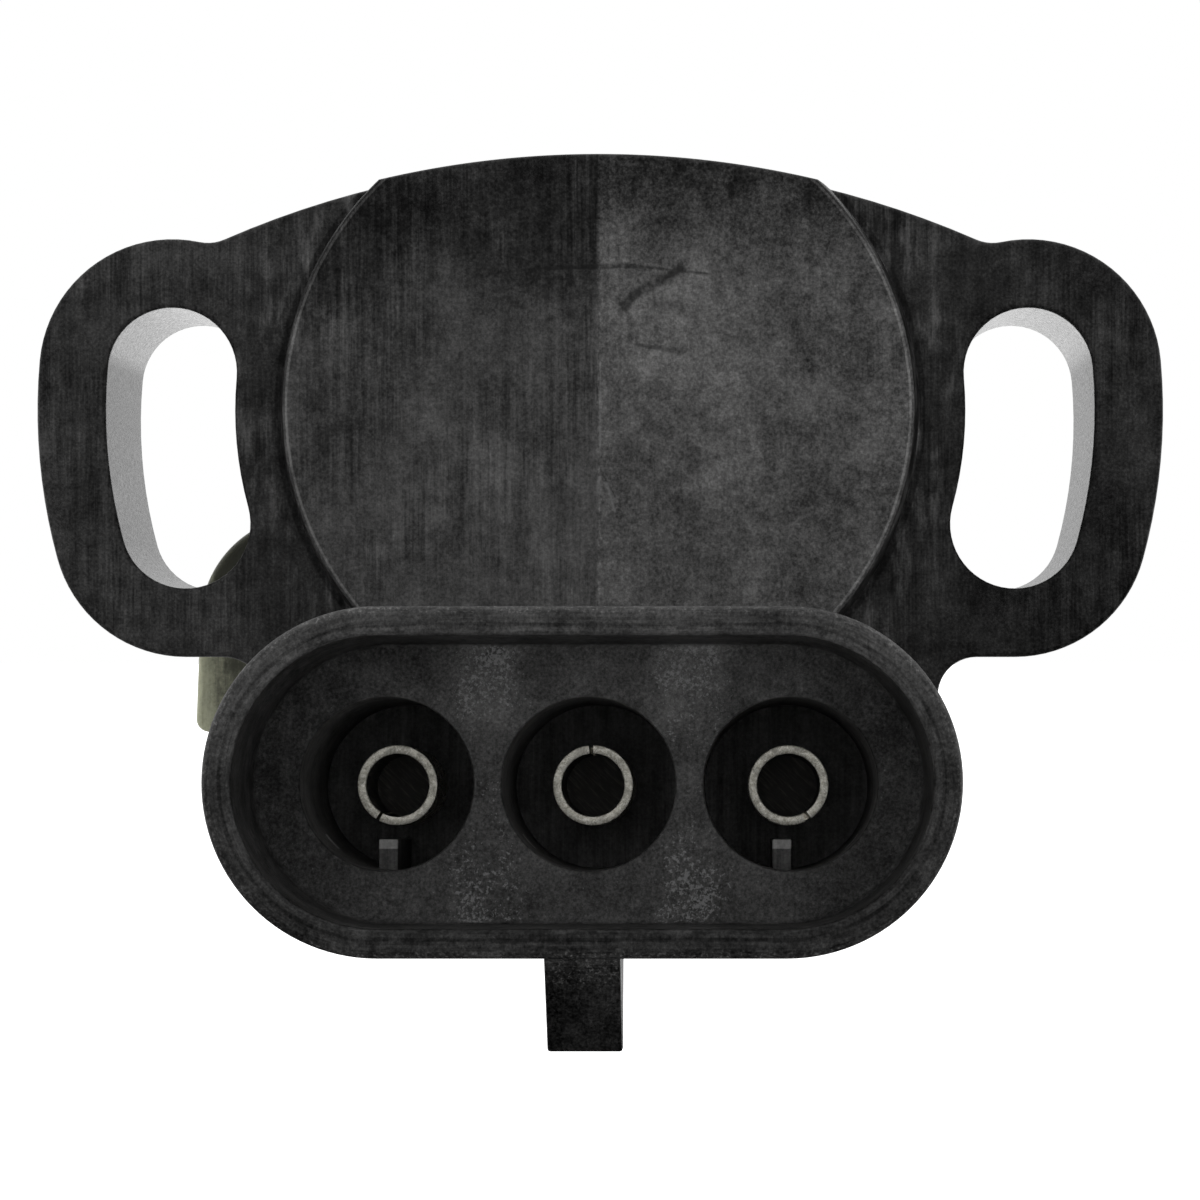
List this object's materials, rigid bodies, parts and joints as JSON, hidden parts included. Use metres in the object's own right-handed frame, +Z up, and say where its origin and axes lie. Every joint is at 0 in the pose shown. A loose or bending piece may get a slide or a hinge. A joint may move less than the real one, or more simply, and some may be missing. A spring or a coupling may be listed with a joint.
{
  "type": "throttle position sensor",
  "caption": "Rotary throttle position sensor: black moulded body with slotted ears, a raised round face, an oval connector shell with tubular pins and a spring-returned lever behind.",
  "frame": {"origin": "where the rotor's axis meets the mounting face at the back", "axes": "+Y is the outward normal of the mounting face, the connector points along -Y and leans up by 2.8 degrees, +X runs from ear to ear, +Z is up with the connector below the axis"},
  "size_m": [0.041, 0.0338, 0.0308],
  "materials": {
    "housing_plastic": "black glass-filled moulding, satin",
    "terminal_metal": "tin plate, dull silver",
    "rivet_metal": "tin plate",
    "sealing_resin": "poured resin",
    "board_laminate": "brown laminate",
    "carbon_print": "printed carbon",
    "silver_print": "printed silver",
    "rotor_plastic": "dark acetal",
    "wiper_metal": "spring alloy",
    "washer_steel": "plain",
    "spring_steel": "plain wire",
    "cover_plastic": "black moulding",
    "gasket_rubber": "red-brown rubber",
    "seal_rubber": "black rubber",
    "lever_nylon": "natural nylon, greyed",
    "retainer_steel": "plain"
  },
  "bodies": {
    "sensor_body": {"housing": "housing_plastic", "terminal_left": "terminal_metal", "terminal_centre": "terminal_metal", "terminal_right": "terminal_metal", "terminal_rivets": "rivet_metal", "terminal_seal": "sealing_resin", "element_board": "board_laminate", "resistive_track": "carbon_print", "collector_track": "silver_print", "track_leads": "silver_print", "thrust_washer": "washer_steel", "return_spring": "spring_steel", "back_cover": "cover_plastic", "cover_seal": "gasket_rubber", "shaft_seal": "seal_rubber"},
    "rotor_and_lever": {"rotor": "rotor_plastic", "wiper": "wiper_metal", "lever": "lever_nylon", "lever_retainer": "retainer_steel"}
  },
  "joints": [
    {"name": "rotor_turn", "type": "hinge", "parent": "sensor_body", "child": "rotor_and_lever", "pos_m": [0, 0, 0], "axis": [0, -1, 0], "range_deg": [0, 90], "stiffness_Nm_per_rad": 0.01, "springref_deg": -68.75, "deforming": ["return_spring"]}
  ]
}
